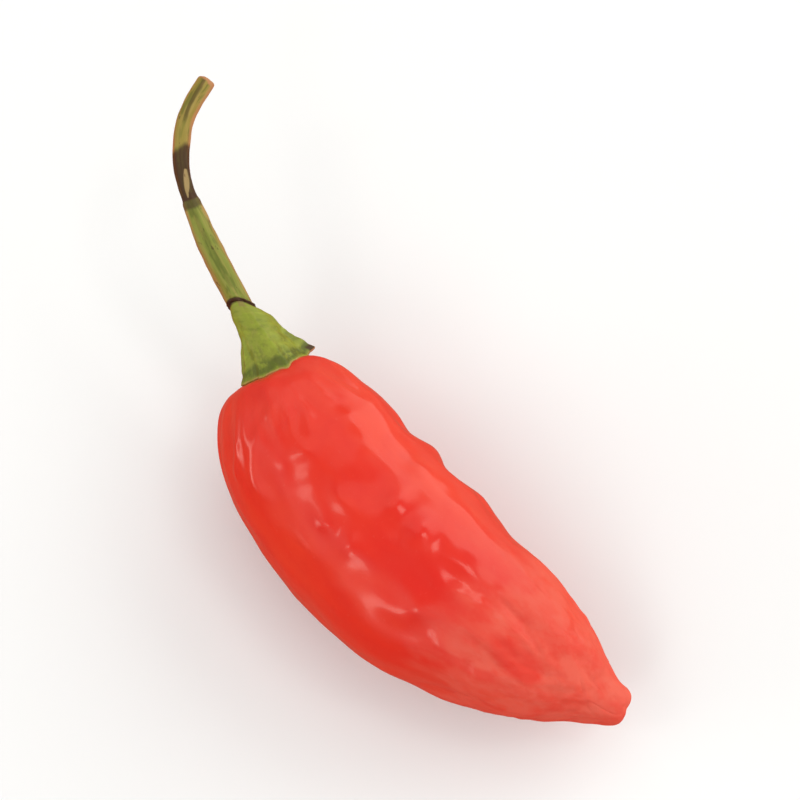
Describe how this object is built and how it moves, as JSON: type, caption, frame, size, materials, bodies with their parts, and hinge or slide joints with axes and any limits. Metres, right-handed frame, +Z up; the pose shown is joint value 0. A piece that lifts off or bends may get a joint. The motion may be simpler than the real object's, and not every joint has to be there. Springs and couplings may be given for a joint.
{
  "type": "chilli pepper",
  "caption": "Picked chilli pepper lying on its side: plump, gently lobed pod with a blunt tip, cup-shaped calyx at its shoulder and a bent stem with a cut end.",
  "frame": {"origin": "on the surface the pepper lies on, under the middle of its outline seen from above", "axes": "+X along the pod from its stem end to its tip, +Y the side the stem bends towards, +Z up"},
  "size_m": [0.1079, 0.043, 0.0294],
  "materials": {
    "pod_skin": "smooth waxy skin, orange-red, a little paler and more matte at the tip",
    "calyx_green": "satin yellow-green leaf tissue with a brown dried rim",
    "stem_green": "dry olive-green stem with brown bands, dark collar and tan cut end"
  },
  "bodies": {
    "root": {"pod": "pod_skin", "calyx": "calyx_green", "stem": "stem_green"}
  },
  "joints": []
}
